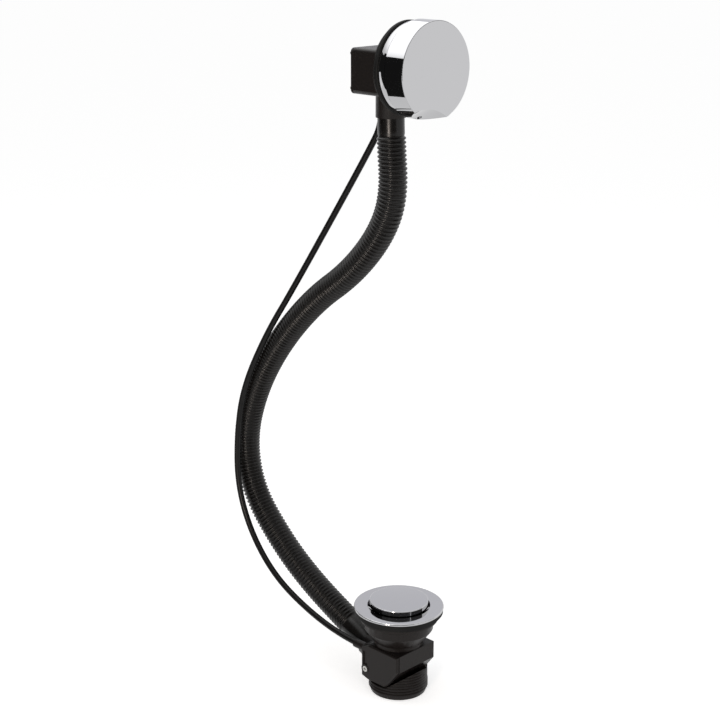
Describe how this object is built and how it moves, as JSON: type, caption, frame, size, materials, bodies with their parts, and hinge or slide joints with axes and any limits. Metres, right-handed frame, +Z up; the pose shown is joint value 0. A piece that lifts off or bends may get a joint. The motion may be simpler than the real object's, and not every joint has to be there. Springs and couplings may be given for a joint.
{
  "type": "bath waste and overflow",
  "caption": "Pop-up bath waste with threaded outlet, joined by a corrugated hose and a cable to an overflow whose round knob turns to raise and lower the plug.",
  "frame": {"origin": "on the waste's axis, in the plane between the two washers where the bath floor is clamped", "axes": "+Z up along the waste's axis, +X the way the overflow knob faces"},
  "size_m": [0.2287, 0.0716, 0.53],
  "materials": {
    "chrome": "bright chrome plate",
    "washer_rubber": "matt moulded rubber",
    "black_plastic": "satin black moulded polypropylene",
    "hose_plastic": "satin black corrugated polypropylene",
    "sheath_plastic": "smooth black extruded plastic",
    "brass": "turned brass",
    "steel": "bright steel",
    "white_acetal": "natural white moulded acetal"
  },
  "bodies": {
    "body": {"waste_flange": "chrome", "flange_washer": "washer_rubber", "body_washer": "washer_rubber", "waste_body": "black_plastic", "side_cover": "black_plastic", "cover_screw": "steel", "lever_seal": "washer_rubber", "lower_wire": "steel", "lower_ferrule": "black_plastic", "overflow_ring": "chrome", "overflow_gasket": "washer_rubber", "overflow_body": "black_plastic", "drum_cover": "black_plastic", "drum_cover_screws": "steel", "spindle_seal": "washer_rubber", "upper_wire": "steel", "upper_ferrule": "black_plastic", "overflow_hose": "hose_plastic", "cable_sheath": "sheath_plastic"},
    "knob": {"control_knob": "chrome", "knob_grub_screw": "steel", "knob_spindle": "brass", "cable_drum": "white_acetal", "drum_nipple": "steel", "drum_wire": "steel"},
    "plug": {"plug_cap": "chrome", "plug_seal": "washer_rubber", "plug_stem": "brass", "stem_foot": "white_acetal"},
    "lever": {"lift_lever": "brass", "cable_crank": "white_acetal", "crank_nipple": "steel"}
  },
  "joints": [
    {"name": "knob_turn", "type": "hinge", "parent": "body", "child": "knob", "pos_m": [0, 0, 0.427], "axis": [-1, 0, 0], "range_deg": [0, 90]},
    {"name": "plug_lift", "type": "slide", "parent": "body", "child": "plug", "axis": [0, 0, -1], "range_m": [0, 0.006]},
    {"name": "lever_pivot", "type": "hinge", "parent": "body", "child": "lever", "pos_m": [-0.0076, 0, -0.049], "axis": [0, 1, 0], "range_deg": [0, 45]}
  ],
  "couplings": [
    {"joint": "plug_lift", "follows": "knob_turn", "m_per_rad": 0.0038197},
    {"joint": "lever_pivot", "follows": "knob_turn", "ratio": 0.5}
  ]
}
